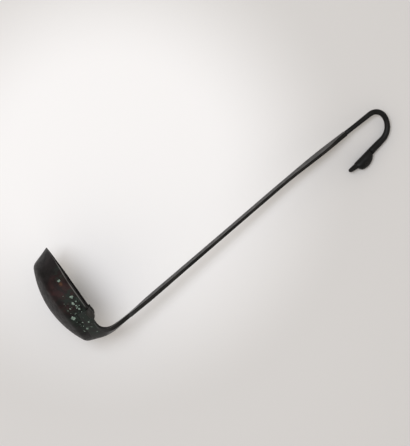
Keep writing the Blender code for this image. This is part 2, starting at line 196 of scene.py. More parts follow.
crescentRoot = dict(spread=68.5, lap=1.0, lapDepth=11.0, lapEndDepth=9.0, shoulder=5.2, bendRadius=31.0,
                    bendStart=6.0, top=21.0, flarePower=3.0, notchAngle=45.5, notchDepth=3.2, spurAngle=63.0,
                    spurRise=1.4, spurReach=2.6, spurWidth=9.0, spurHeight=5.0, spurSkin=0.06, solder=0.4,
                    gap=0.2, seam=0.08, columns=120, rows=30, lapRows=6, seatRows=8, seatLapRows=4)

strapHandle = dict(lean=5.4, length=233.0, bendFrom=158.0, bendLength=40.0, bend=2.3, width=7.0, thick=2.4,
                   baseWidth=9.0, baseThick=3.2, flareLength=9.0, taper=93.0, twist=14.0, twistFrom=6.0,
                   twistLength=34.0, leafWidth=10.8, leafLength=62.0, tipLength=24.0, tipWidth=4.4,
                   tipThick=3.5, columns=8, stations=150, edge=0.26)

hookRod = dict(rise=24.9, nearRadius=8.8, farRadius=14.1, open=7.6, drop=13.9, root=3.8, crown=4.44, neck=5.7,
               seam=0.06, straightSteps=4, arcSteps=26, dropSteps=4)

duckHead = dict(length=22.6, depth=9.9, width=8.6, collar=6.4, billLength=7.0, billDepth=4.8, billTip=2.8,
                billWidth=5.4, billSetback=0.3, crown=1.06, fullness=0.74, brow=0.86, billBlend=0.15,
                billRound=0.3, slim=0.975, stations=96, sides=80, seam=0.06)

tanFlare = math.tan(math.radians(bowlCup["flare"]))
cosFlare = math.cos(math.radians(bowlCup["flare"]))
sinFlare = math.sin(math.radians(bowlCup["flare"]))


def wallRadius(height):
    return bowlCup["rimRadius"] + height * tanFlare


def rootRadius(height):  # the wall's cone, then a bend into the strap's inward lean
    lean = math.radians(strapHandle["lean"])
    start = -crescentRoot["bendStart"]
    if height <= start:
        return wallRadius(height)
    bendRadius = crescentRoot["bendRadius"]
    middleHeight = start + bendRadius * sinFlare
    middleRadius = wallRadius(start) - bendRadius * cosFlare
    endHeight = middleHeight + bendRadius * math.sin(lean)
    if height >= endHeight:
        return middleRadius + bendRadius * math.cos(lean) - (height - endHeight) * math.tan(lean)
    return middleRadius + math.sqrt(bendRadius**2 - (height - middleHeight) ** 2)


def strapStart():
    lean = math.radians(strapHandle["lean"])
    height = crescentRoot["bendRadius"] * (sinFlare + math.sin(lean)) - crescentRoot["bendStart"]
    return Vector((rootRadius(height), 0.0, height))


def strapFrame(distance):  # X out of the strap's outer face, Y across, Z along, in millimetres
    s = strapHandle
    radius = s["bendLength"] / math.radians(s["bend"])
    turn = min(math.radians(s["bend"]), max(0.0, (distance - s["bendFrom"]) / radius))
    beyond = max(0.0, distance - s["bendFrom"] - s["bendLength"])
    out = radius * (1 - math.cos(turn)) + beyond * math.sin(turn) - 0.5 * s["baseThick"]
    up = min(distance, s["bendFrom"]) + radius * math.sin(turn) + beyond * math.cos(turn)
    twisted = smoothStep(s["twistFrom"], s["twistFrom"] + s["twistLength"], distance)
    lean = Matrix.Translation(strapStart()) @ Matrix.Rotation(-math.radians(s["lean"]), 4, "Y")
    bend = Matrix.Translation((out, 0.0, up)) @ Matrix.Rotation(turn, 4, "Y")
    return lean @ bend @ Matrix.Rotation(math.radians(s["twist"]) * twisted, 4, "Z")


def strapSize(distance):  # half width and half thickness
    s = strapHandle
    tipStart = s["length"] - s["tipLength"]
    width = mix(s["width"], s["baseWidth"], math.exp(-distance / s["flareLength"]))
    thick = mix(s["baseThick"], s["thick"], smoothStep(0.0, s["taper"], distance))
    width = mix(width, s["leafWidth"], smoothStep(s["length"] - s["leafLength"], tipStart, distance))
    tip = smoothStep(tipStart, s["length"], distance)
    return 0.5 * mix(width, s["tipWidth"], tip), 0.5 * mix(thick, s["tipThick"], tip)


def triad(point, normal, along):  # a place from a point, a normal and a direction across it
    normal = normal.normalized()
    along = (along - normal * along.dot(normal)).normalized()
    turn = Matrix((normal, along, normal.cross(along))).transposed()
    return Matrix.Translation(point) @ turn.to_4x4()


def layFromMounts():  # the record's thumb face and hook say how the ladle lies
    s = strapHandle
    mounts = {mount["name"]: mount for mount in frame["record"]["mounts"]}
    middle = 0.5 * (s["bendFrom"] + s["bendLength"] + s["length"] - s["tipLength"])
    leaf = strapFrame(middle)
    thumb = leaf @ Vector((-strapSize(middle)[1], 0.0, 0.0)) * mm
    turn = leaf.to_3x3()
    upright = triad(thumb, turn @ Vector((-1.0, 0.0, 0.0)), turn @ Vector((0.0, 0.0, -1.0)))
    lying = triad(Vector(mounts["thumb_face"]["pos_m"]), Vector(mounts["thumb_face"]["axis"]),
                  Vector(mounts["hanging_hook"]["axis"]))
    return lying @ upright.inverted()


lay = layFromMounts()


def aroundAxis(radius, angle, height):  # a point round the bowl's axis, upright, in metres
    turn = math.radians(angle)
    return Vector((radius * math.cos(turn), radius * math.sin(turn), height)) * mm


# finishes

def newMaterial(name):
    material = bpy.data.materials.new(name)
    material.use_nodes = True
    nodes = material.node_tree.nodes
    return material, nodes, material.node_tree.links, nodes["Principled BSDF"]


def addNode(nodes, kind, **settings):
    node = nodes.new(kind)
    for key, value in settings.items():
        setattr(node, key, value)
    return node


def noiseNode(nodes, links, coords, scale, detail=5.0, rough=0.55, warp=0.0):
    node = addNode(nodes, "ShaderNodeTexNoise")
    node.inputs["Scale"].default_value = scale
    node.inputs["Detail"].default_value = detail
    node.inputs["Roughness"].default_value = rough
    node.inputs["Distortion"].default_value = warp
    links.new(coords, node.inputs["Vector"])
    return node.outputs["Fac"]


def ramp(nodes, links, source, low, high, start=0.0, end=1.0):
    node = addNode(nodes, "ShaderNodeMapRange", interpolation_type="SMOOTHSTEP")
    node.inputs["From Min"].default_value = low
    node.inputs["From Max"].default_value = high
    node.inputs["To Min"].default_value = start
    node.inputs["To Max"].default_value = end
    links.new(source, node.inputs["Value"])
    return node.outputs["Result"]


def maths(nodes, links, operation, first, second):
    node = addNode(nodes, "ShaderNodeMath", operation=operation)
    for socket, value in zip(node.inputs, (first, second)):
        if isinstance(value, (int, float)):
            socket.default_value = value
        else:
            links.new(value, socket)
    return node.outputs[0]


def blend(nodes, links, share, first, second):
    node = addNode(nodes, "ShaderNodeMix", data_type="RGBA")
    links.new(share, node.inputs["Factor"])
    for socket, value in ((node.inputs[6], first), (node.inputs[7], second)):
        if isinstance(value, tuple):
            socket.default_value = (*value, 1.0)
        else:
            links.new(value, socket)
    return node.outputs[2]


def distanceNode(nodes, links, coords, centre):
    node = addNode(nodes, "ShaderNodeVectorMath", operation="DISTANCE")
    links.new(coords, node.inputs[0])
    node.inputs[1].default_value = centre
    return node.outputs["Value"]


def patch(nodes, links, coords, centre, size):  # 1 in the middle, fading out over its size
    core = 0.45 * size
    away = distanceNode(nodes, links, coords, centre)
    return ramp(nodes, links, away, core * mm, (core + size) * mm, 1.0, 0.0)


def attributeNode(nodes, name):
    return addNode(nodes, "ShaderNodeAttribute", attribute_name=name).outputs["Fac"]


def bumpNode(nodes, links, shader, height, strength, depth):
    node = addNode(nodes, "ShaderNodeBump")
    node.inputs["Strength"].default_value = strength
    node.inputs["Distance"].default_value = depth * mm
    links.new(height, node.inputs["Height"])
    links.new(node.outputs["Normal"], shader.inputs["Normal"])


def patinaBronze(name, look):
    material, nodes, links, shader = newMaterial(name)
    coords = addNode(nodes, "ShaderNodeTexCoord").outputs["Object"]
    cloud = noiseNode(nodes, links, coords, scale=70.0, detail=6.0, rough=0.6, warp=0.4)
    grain = noiseNode(nodes, links, coords, scale=900.0, detail=4.0, rough=0.6)
    mottle = noiseNode(nodes, links, coords, scale=260.0, detail=5.0, rough=0.65, warp=0.3)
    clouded = ramp(nodes, links, cloud, low=0.35, high=0.68)
    colour = blend(nodes, links, clouded, look["dark"], look["light"])
    if "rubbed" in look:
        wear = attributeNode(nodes, "wear")
        rubbed = maths(nodes, links, "MULTIPLY", wear, ramp(nodes, links, mottle, low=0.35, high=0.62))
        colour = blend(nodes, links, rubbed, colour, look["rubbed"])
    stained = None
    for stain in look.get("stains", ()):
        spread = None
        for angle, height, size in stain["places"]:
            centre = lay @ aroundAxis(wallRadius(height), angle, height)
            near = patch(nodes, links, coords, centre, size)
            spread = near if spread is None else maths(nodes, links, "MAXIMUM", spread, near)
        broken = noiseNode(nodes, links, coords, stain["scale"], detail=6.0, rough=0.65, warp=0.8)
        patchy = ramp(nodes, links, broken, stain["low"], stain["high"], 0.0, stain["strength"])
        cover = maths(nodes, links, "MULTIPLY", spread, patchy)
        colour = blend(nodes, links, cover, colour, stain["colour"])
        stained = cover if stained is None else maths(nodes, links, "MAXIMUM", stained, cover)
    if "arrisHighlight" in look:  # painted shade on the lip's dark band, and a painted highlight for the pale line under it, partly wear on the edge
        colour = blend(nodes, links, attributeNode(nodes, "shade"), colour, look["dark"])
        uneven = ramp(nodes, links, cloud, low=0.30, high=0.55, start=0.45)
        wearAndHighlight = maths(nodes, links, "MULTIPLY", attributeNode(nodes, "arrisHighlight"), uneven)
        colour = blend(nodes, links, wearAndHighlight, colour, look["arrisHighlight"])
    links.new(colour, shader.inputs["Base Color"])
    shader.inputs["Specular IOR Level"].default_value = look["sheen"]
    smooth, rough = look["roughness"]
    dull = ramp(nodes, links, mottle, 0.3, 0.72, smooth, rough)
    if stained is None:
        shader.inputs["Metallic"].default_value = look["metal"]
    else:  # stains are neither metallic nor smooth
        links.new(ramp(nodes, links, stained, 0.0, 1.0, look["metal"], 0.0), shader.inputs["Metallic"])
        dull = maths(nodes, links, "MAXIMUM", dull, maths(nodes, links, "MULTIPLY", stained, 0.75))
    links.new(dull, shader.inputs["Roughness"])
    height = maths(nodes, links, "ADD", maths(nodes, links, "MULTIPLY", grain, 0.35), mottle)
    bumpNode(nodes, links, shader, height, look["bump"], 0.25)
    return material


bowlFinish = dict(
    dark=(0.0045, 0.0035, 0.0039), light=(0.0178, 0.0142, 0.0153), rubbed=(0.05, 0.044, 0.039),
    # arris: a painted highlight along the lip step, partly wear on its edge
    arrisHighlight=(0.17, 0.163, 0.16), metal=0.5, sheen=0.22, roughness=(0.46, 0.62), bump=0.4,
    stains=[  # each place: angle round the bowl, height, size
        dict(colour=(0.031, 0.0064, 0.0070), scale=75.0, low=0.36, high=0.64, strength=0.8,
             places=[(-114, -10, 5), (-102, -9, 11), (-91, -12, 10), (-97, -6, 7)]),
        dict(colour=(0.0075, 0.0150, 0.0110), scale=210.0, low=0.40, high=0.60, strength=0.8,
             places=[(-118, -3, 6), (-89, -6, 8), (-79, -7, 11), (-66, -9, 10), (-52, -8, 9)]),
        dict(colour=(0.085, 0.036, 0.014), scale=420.0, low=0.40, high=0.58, strength=0.8,
             places=[(-107.4, -6.4, 1.6)]),
        dict(colour=(0.05, 0.09, 0.07), scale=520.0, low=0.58, high=0.70, strength=0.7,
             places=[(-82, -7, 7), (-66, -9, 6)]),
    ],
)
handleFinish = dict(
    dark=(0.005, 0.0044, 0.0046), light=(0.017, 0.0150, 0.0146), rubbed=(0.050, 0.046, 0.042), metal=0.5,
    sheen=0.4, roughness=(0.33, 0.50), bump=0.3,
    stains=[
        dict(colour=(0.0085, 0.0074, 0.0072), scale=60.0, low=0.05, high=0.35, strength=0.9,
             places=[(-66, -4, 11), (-54, -5, 13), (-40, -6, 14), (-22, -8, 13), (0, -8, 13), (22, -8, 13),
                     (40, -6, 14), (54, -5, 13), (66, -4, 11)]),
        dict(colour=(0.0075, 0.0150, 0.0110), scale=210.0, low=0.40, high=0.60, strength=0.8,
             places=[(-66, -7, 8), (-52, -8, 10), (-40, -7, 9)]),
        dict(colour=(0.026, 0.020, 0.016), scale=300.0, low=0.36, high=0.58, strength=0.7,
             places=[(-64, 0, 4)]),
        dict(colour=(0.05, 0.09, 0.07), scale=520.0, low=0.60, high=0.72, strength=0.7,
             places=[(-50, -8, 7)]),
    ],
)
hookFinish = dict(dark=(0.004, 0.0037, 0.004), light=(0.011, 0.0102, 0.0108), metal=0.6, sheen=0.4,
                  roughness=(0.40, 0.54), bump=0.3)
headFinish = dict(hookFinish, rubbed=(0.045, 0.041, 0.037))
solderFinish = dict(dark=(0.05, 0.05, 0.05), light=(0.12, 0.12, 0.115), metal=0.9, sheen=0.5,
                    roughness=(0.45, 0.65), bump=0.3)
crustFinish = dict(deep=(0.085, 0.130, 0.105), pale=(0.28, 0.332, 0.29), roughness=0.85, bump=0.5)


def malachiteCrust(look):
    material, nodes, links, shader = newMaterial("malachiteCrust")
    coords = addNode(nodes, "ShaderNodeTexCoord").outputs["Object"]
    grain = noiseNode(nodes, links, coords, scale=1400.0, detail=5.0, rough=0.65)
    bleached = ramp(nodes, links, grain, low=0.35, high=0.65)
    links.new(blend(nodes, links, bleached, look["deep"], look["pale"]), shader.inputs["Base Color"])
    shader.inputs["Roughness"].default_value = look["roughness"]
    bumpNode(nodes, links, shader, grain, look["bump"], 0.2)
    return material


# bowl: a profile drawn point by point and spun

def bowlProfile():
    c = bowlCup
    bellyRadius = wallRadius(-c["wallHeight"])
    domeTop = -c["wallHeight"] + math.sqrt(c["dome"] ** 2 - bellyRadius**2)

    def dome(radius, size):
        return domeTop - math.sqrt(size**2 - radius**2)

    def face(inset, size):  # lip to axis: straight wall, rounded belly, domed floor
        corner, height = bellyRadius - inset, -c["wallHeight"]
        for _ in range(6):  # closes in on where the wall meets the dome
            height = dome(corner, size)
            corner = wallRadius(height) - inset
        knee = Vector((corner, height))
        above = Vector((corner + c["belly"] * sinFlare, height + c["belly"] * cosFlare))
        below = Vector((corner - c["belly"], dome(corner - c["belly"], size)))
        lipPoint = Vector((wallRadius(-c["lip"]) - inset, -c["lip"]))
        points = [lipPoint.lerp(above, (i / c["wallRings"]) ** c["crowding"]) for i in range(c["wallRings"])]
        for i in range(c["bellySteps"] + 1):
            share = i / c["bellySteps"]
            points.append(above.lerp(knee, share).lerp(knee.lerp(below, share), share))
        for i in range(1, c["domeRings"] + 1):
            radius = below.x * (1 - i / c["domeRings"])
            points.append(Vector((radius, dome(radius, size))))
        return points

    inset = c["wall"] / cosFlare
    outer = face(0.0, c["dome"])
    inner = face(inset, c["dome"] - c["floor"])
    innerCentre = c["rimRadius"] - inset + c["lip"]
    outerCentre = c["rimRadius"] - c["lip"] - c["lipWear"]
    lip = []
    for centre, start in ((innerCentre, 180), (outerCentre, 90)):
        for i in range(1, c["lipSteps"]):
            turn = math.radians(start - 90 * i / c["lipSteps"])
            lip.append(Vector((centre + c["lip"] * math.cos(turn), c["lip"] * (math.sin(turn) - 1))))
    return list(reversed(inner)) + lip + outer


def makeBowl():
    profile = bowlProfile()
    clearSelection()
    bpy.ops.mesh.primitive_plane_add(size=1.0 * mm, location=(profile[0].x * mm, 0.0, profile[0].y * mm))
    bowl = rename("bowlShell")
    bpy.ops.object.transform_apply(location=True, rotation=True, scale=True)
    bpy.ops.object.mode_set(mode="EDIT")
    bpy.ops.mesh.select_mode(type="VERT")
    bpy.ops.mesh.select_all(action="SELECT")
    bpy.ops.mesh.merge(type="CENTER")
    for here, there in zip(profile, profile[1:]):
        step = (there - here) * mm
        bpy.ops.mesh.extrude_vertices_move(TRANSFORM_OT_translate={"value": (step.x, 0.0, step.y)})
    bpy.ops.mesh.select_all(action="SELECT")
    bpy.ops.mesh.spin(steps=bowlCup["sides"], angle=2 * math.pi, center=(0, 0, 0), axis=(0, 0, 1))
    weld(0.005 * mm)
    print("bowl spun:", len(bowl.data.vertices), "points")
    return bowl


def stepLip(bowl):  # the wall under the lip is scraped back a little, so that the lip stands as a low band
    c = bowlCup
    rootEnd = crescentRoot["spread"]
    moves = []
    arrisHighlight = []
    shade = []
    for vert in bowl.data.vertices:
        angle = abs(math.degrees(math.atan2(vert.co.y, vert.co.x)))
        height = vert.co.z / mm
        outer = vert.normal.x * vert.co.x + vert.normal.y * vert.co.y > 0
        line = -c["bandTop"] - c["lipBand"] * smoothStep(c["bandFrom"], c["bandTo"], angle)
        below = 1 - smoothStep(line - c["bandEdge"], line + c["bandEdge"], height)
        scraped = below * smoothStep(-c["scrapeEnd"], -c["scrapeFull"], height)
        clear = smoothStep(rootEnd + 1.5, rootEnd + 8.0, angle)
        moves.append(-vert.normal * c["lipStep"] * scraped * clear * outer * mm)
        shown = clear * outer * smoothStep(c["bandFrom"], c["bandFrom"] - c["bandFade"], angle)
        # painted highlight: a pale line along the step's edge, partly wear
        arrisHighlight.append(bell(height - line - 0.1, c["lineWidth"]) * shown)
        # painted shade: the band from the pale line up to the lip is darkened
        shade.append(smoothStep(line + 0.35, line + 0.75, height) * shown)
    for vert, move in zip(bowl.data.vertices, moves):
        vert.co += move
    for name, values in (("arrisHighlight", arrisHighlight), ("shade", shade)):
        layer = bowl.data.attributes.new(name, "FLOAT", "POINT")
        layer.data.foreach_set("value", values)


# crescent root and strap: one sheet, thickened by its gauge

def rootTop(angle):
    c = crescentRoot
    angle = abs(angle)
    neck = neckAngle()
    if angle <= neck:
        return c["top"]
    if angle <= c["notchAngle"]:
        share = (angle - neck) / (c["notchAngle"] - neck)
        return -c["notchDepth"] + (c["top"] + c["notchDepth"]) * (1 - share) ** c["flarePower"]
    return mix(-c["notchDepth"], 0.5 * c["spurRise"], smoothStep(c["notchAngle"], c["spurAngle"], angle))


def rootBottom(angle):
    share = math.cos(0.5 * math.pi * min(1.0, abs(angle) / crescentRoot["spread"]))
    return -mix(crescentRoot["lapEndDepth"], crescentRoot["lapDepth"], share)


def strapFoot():  # distance along the strap of the root's top edge
    return (crescentRoot["top"] - strapStart().z) / math.cos(math.radians(strapHandle["lean"]))


def neckAngle():
    return math.degrees(strapSize(strapFoot())[0] / rootRadius(crescentRoot["top"]))


def columnAngle(share):  # the strap's columns in the middle, the rest spread evenly to both ends
    columns = crescentRoot["columns"]
    half = 0.5 * strapHandle["columns"]
    place = (share - 0.5) * columns
    if abs(place) <= half:
        return neckAngle() * place / half
    reach = (abs(place) - half) / (0.5 * columns - half)
    return math.copysign(mix(neckAngle(), crescentRoot["spread"], reach), place)


def rootSheet():
    c = crescentRoot
    full = bowlCup["wall"] / strapHandle["tipThick"]
    lap = c["lap"] / strapHandle["tipThick"]
    neck = 2 * strapSize(strapFoot())[1] / strapHandle["tipThick"]
    step = 0.15

    def place(across, up):
        angle = columnAngle(across)
        row = round(up * c["rows"])
        if row <= c["lapRows"]:
            height = mix(rootBottom(angle), -c["shoulder"], row / c["lapRows"])
            gauge = lap
        else:
            share = (row - c["lapRows"] - 1) / (c["rows"] - c["lapRows"] - 1)
            height = mix(-c["shoulder"] + step, rootTop(angle), share)
            gauge = mix(full, neck, smoothStep(0.0, c["top"], height))
        return aroundAxis(rootRadius(height), angle, height), gauge

    return gridSheet("crescentRoot", c["columns"], c["rows"], place)


def strapSheet():
    s = strapHandle
    foot = strapFoot()
    edge = [rootSheetTop(i / s["columns"]) for i in range(s["columns"] + 1)]

    def place(across, up):
        distance = mix(foot, s["length"], up)
        halfWidth, halfThick = strapSize(distance)
        point = strapFrame(distance) @ Vector((halfThick, halfWidth * (2 * across - 1), 0.0)) * mm
        if round(up * s["stations"]) == 0:
            point = edge[round(across * s["columns"])]
        return point, 2 * halfThick / s["tipThick"]

    return gridSheet("strap", s["columns"], s["stations"], place)


def rootSheetTop(across):  # the root's top edge under the strap
    angle = neckAngle() * (2 * across - 1)
    return aroundAxis(rootRadius(crescentRoot["top"]), angle, crescentRoot["top"])


def makeSpur(side, grow):
    c = crescentRoot
    clearSelection()
    bpy.ops.mesh.primitive_uv_sphere_add(segments=48, ring_count=24, radius=1.0)
    spur = rename("spur")
    half = 0.5 * c["spurHeight"]
    angle = side * c["spurAngle"]
    centre = aroundAxis(bowlCup["rimRadius"] + c["spurReach"] - half, angle, c["spurRise"] - half)
    turn = Matrix.Rotation(math.radians(angle), 4, "Z")
    high = (half + grow) * mm
    wide = (0.5 * c["spurWidth"] + grow) * mm
    settle(spur, Matrix.Translation(centre) @ turn @ Matrix.Diagonal((high, wide, high, 1.0)))
    return spur


def makeHandle():
    root = rootSheet()
    strap = strapSheet()
    pick(root)
    strap.select_set(True)
    bpy.ops.object.join()
    handle = rename("strapHandle")
    turnOutwards(handle)
    thicken(handle, strapHandle["tipThick"])
    freeFrom = -crescentRoot["notchDepth"] - 0.6  # a little under the notch
    corner = math.radians(50)

    def freeCorner(edge):  # the long corners of the strap, of the flare and of the notch, not the lap's own
        if len(edge.link_faces) != 2 or edge.calc_face_angle() < corner:
            return False
        return min(vert.co.z for vert in edge.verts) > freeFrom * mm

    selectEdges(handle, freeCorner)
    bpy.ops.mesh.bevel(offset=strapHandle["edge"] * mm, segments=3, affect="EDGES", clamp_overlap=True)
    bpy.ops.object.mode_set(mode="OBJECT")
    for side in (1, -1):
        joinOver(handle, makeSpur(side, -crescentRoot["spurSkin"]), "UNION")
    print("handle made:", len(handle.data.vertices), "points")
    return handle


def seatCutter():  # the space of the root, its solder and the wall above its shoulder
    c = crescentRoot
    outside = 5.0
    top = 12.0
    step = 0.02
    bed = outside + (c["lap"] + c["solder"] + 2 * c["gap"]) / cosFlare
    through = outside + (bowlCup["wall"] + 0.6) / cosFlare  # a little past the wall's inner face

    def place(across, up):
        angle = mix(-c["spread"], c["spread"], across) * (1 + c["seam"] / bowlCup["rimRadius"])
        row = round(up * c["seatRows"])
        if row <= c["seatLapRows"]:
            height = mix(rootBottom(angle) - c["seam"], -c["shoulder"], row / c["seatLapRows"])
            depth = bed
        else:
            share = (row - c["seatLapRows"] - 1) / (c["seatRows"] - c["seatLapRows"] - 1)
            height = mix(-c["shoulder"] + step, top, share)
            depth = through
        return aroundAxis(wallRadius(height) + outside, angle, height), depth / through

    seat = gridSheet("seat", c["columns"], c["seatRows"], place)
    turnOutwards(seat)
    thicken(seat, through)
    return seat


# hook: a tapered rod along two arcs

def hookPath():
    h = hookRod
    opening = math.radians(h["open"])
    path = [(0.0, max(h["seam"], h["rise"] * i / h["straightSteps"])) for i in range(h["straightSteps"])]
    for i in range(h["arcSteps"] + 1):
        turn = 0.5 * math.pi * i / h["arcSteps"]
        path.append((h["nearRadius"] * (1 - math.cos(turn)), h["rise"] + h["nearRadius"] * math.sin(turn)))
    crown = h["rise"] + h["nearRadius"]
    for i in range(1, h["arcSteps"] + 1):
        turn = (0.5 * math.pi - opening) * i / h["arcSteps"]
        out = h["nearRadius"] + h["farRadius"] * math.sin(turn)
        path.append((out, crown - h["farRadius"] * (1 - math.cos(turn))))
    out, up = path[-1]
    for i in range(1, h["dropSteps"] + 1):
        drop = h["drop"] * i / h["dropSteps"]
        path.append((out + drop * math.sin(opening), up - drop * math.cos(opening)))
    return path


def makeHook():
    h = hookRod
    path = hookPath()
    lengths = [0.0]
    for here, there in zip(path, path[1:]):
        lengths.append(lengths[-1] + math.dist(here, there))
    crownLength = lengths[h["straightSteps"] + h["arcSteps"]]
    clearSelection()
    bpy.ops.curve.primitive_nurbs_path_add()
    hook = rename("hookRod")
    curve = hook.data
    curve.splines.clear()
    curve.dimensions = "3D"
    curve.bevel_depth = 0.5 * mm
    curve.bevel_resolution = 10
    curve.use_fill_caps = True
    line = curve.splines.new("POLY")
    line.points.add(len(path) - 1)
    foot = strapFrame(strapHandle["length"])
    for point, (out, up), length in zip(line.points, path, lengths):
        thick = mix(h["root"], h["crown"], smoothStep(0.0, crownLength, length))
        thick = mix(thick, h["neck"], smoothStep(crownLength, lengths[-1], length))
        point.co = (*(foot @ Vector((out, 0.0, up)) * mm), 1.0)
        point.radius = thick
    pick(hook)
    bpy.ops.object.convert(target="MESH")
    hook = rename("hookRod")
    bpy.ops.object.mode_set(mode="EDIT")
    weld(0.002 * mm)
    print("hook bent:", len(hook.data.vertices), "points")
    return hook


# duck's head: rings drawn out along the head, then worked like chased bronze

def headFrame():
    out, up = hookPath()[-1]
    turn = Matrix.Rotation(math.pi - math.radians(hookRod["open"]), 4, "Y") @ Matrix.Rotation(math.pi, 4, "Z")
    return strapFrame(strapHandle["length"]) @ Matrix.Translation((out, 0.0, up)) @ turn


def headRing(along):  # depth, width and centre of the head at a distance from the neck
    d = duckHead
    brow = d["length"] - d["billLength"]
    swell = max(0.0, math.sin(math.pi * min(1.0, along / (d["crown"] * brow)))) ** d["fullness"]
    bill = smoothStep(d["brow"] * brow, brow + d["billBlend"] * d["billLength"], along)
    billDepth = mix(d["billDepth"], d["billTip"], max(0.0, (along - brow) / d["billLength"]))
    depth = mix(mix(d["collar"], d["depth"], swell), billDepth, bill)
    width = mix(mix(d["collar"], d["width"], swell), d["billWidth"], bill)
    tip = max(0.0, 1 - (d["length"] - along) / (d["billRound"] * d["billLength"]))
    blunt = math.sqrt(max(0.0004, 1 - tip * tip))
    centre = -0.5 * hookRod["neck"] + 0.5 * depth + d["billSetback"] * bill
    return d["slim"] * depth * blunt, d["slim"] * width * blunt, centre


chasing = dict(  # how deep or high each line is, how wide and where
    eyeAlong=0.55, eyeRise=1.2, eyeSide=1.5, eyeRadius=1.15, ring=0.32, ringWidth=0.30,
    pupil=0.30, pupilWidth=0.45, socket=0.45, socketWidth=2.4,
    mouth=0.30, mouthWidth=0.32, mouthDrop=0.35, mouthSide=1.0,
    billBase=0.22, billBaseWidth=0.5, billBaseAlong=0.2,
    nostril=0.28, nostrilWidth=0.42, nostrilAlong=2.2, nostrilSide=0.9,
    collar=0.16, collarWidth=0.28, collarAlong=1.1,
)


def chase(point, normal):  # how far the surface moves at the eyes, the bill and the collar
    d = duckHead
    w = chasing
    brow = d["length"] - d["billLength"]
    along = point.z
    side = abs(point.y)
    centre = headRing(min(along, d["length"] - 0.01))[2]
    move = 0.0
    if side > w["eyeSide"]:
        eye = math.hypot(along - w["eyeAlong"] * brow, point.x - centre - w["eyeRise"])
        move += w["ring"] * bell(eye - w["eyeRadius"], w["ringWidth"])
        move += w["pupil"] * bell(eye, w["pupilWidth"])
        move -= w["socket"] * bell(eye, w["socketWidth"])
    if side > w["mouthSide"]:
        begun = smoothStep(brow - 0.5, brow + 1.5, along)
        ended = smoothStep(d["length"] - 1.2, d["length"] - 0.2, along)
        move -= w["mouth"] * bell(point.x - centre + w["mouthDrop"], w["mouthWidth"]) * begun * (1 - ended)
    move -= w["billBase"] * bell(along - brow - w["billBaseAlong"], w["billBaseWidth"])
    if point.x > centre:
        nostril = math.hypot(along - brow - w["nostrilAlong"], side - w["nostrilSide"])
        move -= w["nostril"] * bell(nostril, w["nostrilWidth"])
    move -= w["collar"] * bell(along - w["collarAlong"], w["collarWidth"])
    return normal * move


def makeHead():
    d = duckHead
    rings = []
    for i in range(d["stations"] + 1):
        along = d["seam"] + (d["length"] - d["seam"]) * math.sin(0.5 * math.pi * i / d["stations"])
        rings.append((along, *headRing(along)))
    clearSelection()
    bpy.ops.mesh.primitive_circle_add(vertices=d["sides"], radius=1.0, fill_type="NGON")
    head = rename("duckHead")
    along, depth, width, centre = rings[0]
    size = Matrix.Diagonal((0.5 * depth, 0.5 * width, 1.0, 1.0))
    settle(head, Matrix.Translation((centre, 0.0, along)) @ size)
    bpy.ops.object.mode_set(mode="EDIT")
    bpy.ops.mesh.select_all(action="SELECT")
    for last, ring in zip(rings, rings[1:]):
        step = (ring[3] - last[3], 0.0, ring[0] - last[0])
        bpy.ops.mesh.extrude_region_move(TRANSFORM_OT_translate={"value": step})
        bpy.ops.transform.resize(value=(ring[1] / last[1], ring[2] / last[2], 1.0),
                                 center_override=(ring[3], 0.0, ring[0]))
    weld(0.0005)  # the head is still in millimetres here
    moves = [chase(vert.co, vert.normal) for vert in head.data.vertices]
    for vert, move in zip(head.data.vertices, moves):
        vert.co += move
    settle(head, Matrix.Scale(mm, 4) @ headFrame())
    print("head chased:", len(head.data.vertices), "points")
    return head


# pale green crust: flat lumps where the corrosion has broken out

crustSpots = dict(
    spots=[  # angle round the bowl, height, length, breadth
        (-89.3, -5.2, 2.8, 1.6), (-82.7, -4.4, 1.2, 1.0), (-82.2, -7.1, 2.3, 1.6), (-78.5, -6.0, 1.4, 1.2),
        (-78.8, -10.9, 1.3, 1.0), (-73.6, -5.5, 1.8, 1.4), (-66.9, -12.9, 4.0, 2.9), (-56.7, -9.3, 1.4, 1.1),
        (-54.0, -5.6, 1.9, 1.6), (-46.0, -6.2, 1.4, 0.8), (-45.4, -9.4, 2.4, 2.0), (-42.8, -12.1, 2.2, 0.7),
        (-34.0, -4.8, 1.3, 1.2), (-111.6, -6.1, 2.6, 1.6), (-95.0, -9.8, 1.0, 0.7), (-71.0, -9.2, 0.9, 0.7),
    ],
    thick=0.5, sink=0.2, lumpy=0.45, lumpScale=1.6, gritty=0.15, gritScale=5.0,
    crumbs=30, crumbSize=(0.45, 0.9), crumbAngle=(-90, -45), crumbHeight=(-13, -4), crumbStretch=(1.0, 1.5),
)


